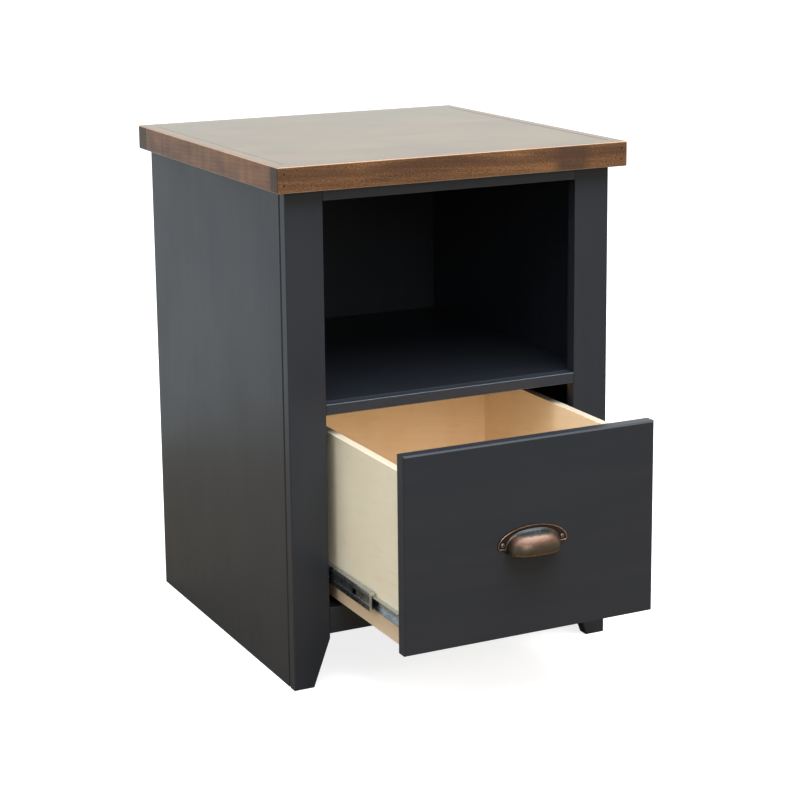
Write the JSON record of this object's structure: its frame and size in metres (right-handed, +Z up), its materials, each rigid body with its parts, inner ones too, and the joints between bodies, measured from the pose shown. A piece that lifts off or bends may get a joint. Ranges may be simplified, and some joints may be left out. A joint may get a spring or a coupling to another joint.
{
  "type": "bedside cabinet",
  "caption": "Free-standing bedside cabinet with an open cubby over a deep drawer on ball-bearing slides, a stained wood top, tapered feet and a cup pull.",
  "frame": {"origin": "on the floor, midway across the width, and midway between the nose of the pull and the back of the top with the drawer part-way open", "axes": "+Z up, -Y the way the drawer opens, X across with the mirror plane at X = 0"},
  "size_m": [0.5564, 0.7985, 0.762],
  "materials": {
    "painted_wood": "satin charcoal paint",
    "stained_wood": "walnut stain under satin varnish",
    "birch_plywood": "clear lacquered birch plywood",
    "spacer_wood": "planed softwood",
    "slide_steel": "bright zinc plating",
    "retainer_steel": "rolled steel",
    "ball_steel": "polished bearing steel",
    "fastener_steel": "zinc plated",
    "pull_screw_steel": "antiqued",
    "buffer_plastic": "black moulded plastic",
    "antique_copper": "antique copper with rubbed highlights"
  },
  "bodies": {
    "carcass": {"back_edge_nails": "fastener_steel", "back_panel": "painted_wood", "bottom_panel": "painted_wood", "bottom_rail": "painted_wood", "front_edge_nails": "fastener_steel", "nosing_nails": "fastener_steel", "shelf_nosing": "painted_wood", "shelf_panel": "painted_wood", "side_panel_left": "painted_wood", "side_panel_right": "painted_wood", "slide_case_screws_left": "fastener_steel", "slide_case_screws_right": "fastener_steel", "slide_fixed_member_left": "slide_steel", "slide_fixed_member_right": "slide_steel", "slide_rear_stop_left": "buffer_plastic", "slide_rear_stop_right": "buffer_plastic", "slide_spacer_left": "spacer_wood", "slide_spacer_right": "spacer_wood", "spacer_screws_left": "fastener_steel", "spacer_screws_right": "fastener_steel", "stile_left": "painted_wood", "stile_right": "painted_wood", "sub_top": "painted_wood", "top_edge_back": "stained_wood", "top_edge_front": "stained_wood", "top_edge_left": "stained_wood", "top_edge_right": "stained_wood", "top_plank_1": "stained_wood", "top_plank_2": "stained_wood", "top_plank_3": "stained_wood", "top_plank_4": "stained_wood", "top_plank_5": "stained_wood", "top_rail": "painted_wood", "top_screws": "fastener_steel"},
    "drawer": {"cup_pull": "antique_copper", "drawer_back": "birch_plywood", "drawer_bottom": "birch_plywood", "drawer_box_front": "birch_plywood", "drawer_front": "painted_wood", "drawer_front_screws": "fastener_steel", "drawer_side_left": "birch_plywood", "drawer_side_right": "birch_plywood", "pull_screws": "pull_screw_steel", "slide_drawer_member_left": "slide_steel", "slide_drawer_member_right": "slide_steel", "slide_drawer_screws_left": "fastener_steel", "slide_drawer_screws_right": "fastener_steel"},
    "slide_middle_left": {"slide_middle_member_left": "slide_steel", "slide_end_bracket_left": "slide_steel"},
    "outer_cage_left": {"outer_ball_retainer_left": "retainer_steel", "outer_balls_left": "ball_steel"},
    "inner_cage_left": {"inner_ball_retainer_left": "retainer_steel", "inner_balls_left": "ball_steel"},
    "slide_middle_right": {"slide_middle_member_right": "slide_steel", "slide_end_bracket_right": "slide_steel"},
    "outer_cage_right": {"outer_ball_retainer_right": "retainer_steel", "outer_balls_right": "ball_steel"},
    "inner_cage_right": {"inner_ball_retainer_right": "retainer_steel", "inner_balls_right": "ball_steel"}
  },
  "joints": [
    {"name": "drawer_slide", "type": "slide", "parent": "carcass", "child": "drawer", "axis": [0, -1, 0], "range_m": [-0.2295, 0.2155]},
    {"name": "middle_member_left_slide", "type": "slide", "parent": "carcass", "child": "slide_middle_left", "axis": [0, -1, 0], "range_m": [-0.14919, 0.14008]},
    {"name": "outer_cage_left_roll", "type": "slide", "parent": "carcass", "child": "outer_cage_left", "axis": [0, -1, 0], "range_m": [-0.0746, 0.07005]},
    {"name": "inner_cage_left_roll", "type": "slide", "parent": "carcass", "child": "inner_cage_left", "axis": [0, -1, 0], "range_m": [-0.18935, 0.1778]},
    {"name": "middle_member_right_slide", "type": "slide", "parent": "carcass", "child": "slide_middle_right", "axis": [0, -1, 0], "range_m": [-0.14919, 0.14008]},
    {"name": "outer_cage_right_roll", "type": "slide", "parent": "carcass", "child": "outer_cage_right", "axis": [0, -1, 0], "range_m": [-0.0746, 0.07005]},
    {"name": "inner_cage_right_roll", "type": "slide", "parent": "carcass", "child": "inner_cage_right", "axis": [0, -1, 0], "range_m": [-0.18935, 0.1778]}
  ],
  "couplings": [
    {"joint": "middle_member_left_slide", "follows": "drawer_slide", "ratio": 0.65},
    {"joint": "outer_cage_left_roll", "follows": "drawer_slide", "ratio": 0.325},
    {"joint": "inner_cage_left_roll", "follows": "drawer_slide", "ratio": 0.825},
    {"joint": "middle_member_right_slide", "follows": "drawer_slide", "ratio": 0.65},
    {"joint": "outer_cage_right_roll", "follows": "drawer_slide", "ratio": 0.325},
    {"joint": "inner_cage_right_roll", "follows": "drawer_slide", "ratio": 0.825}
  ]
}
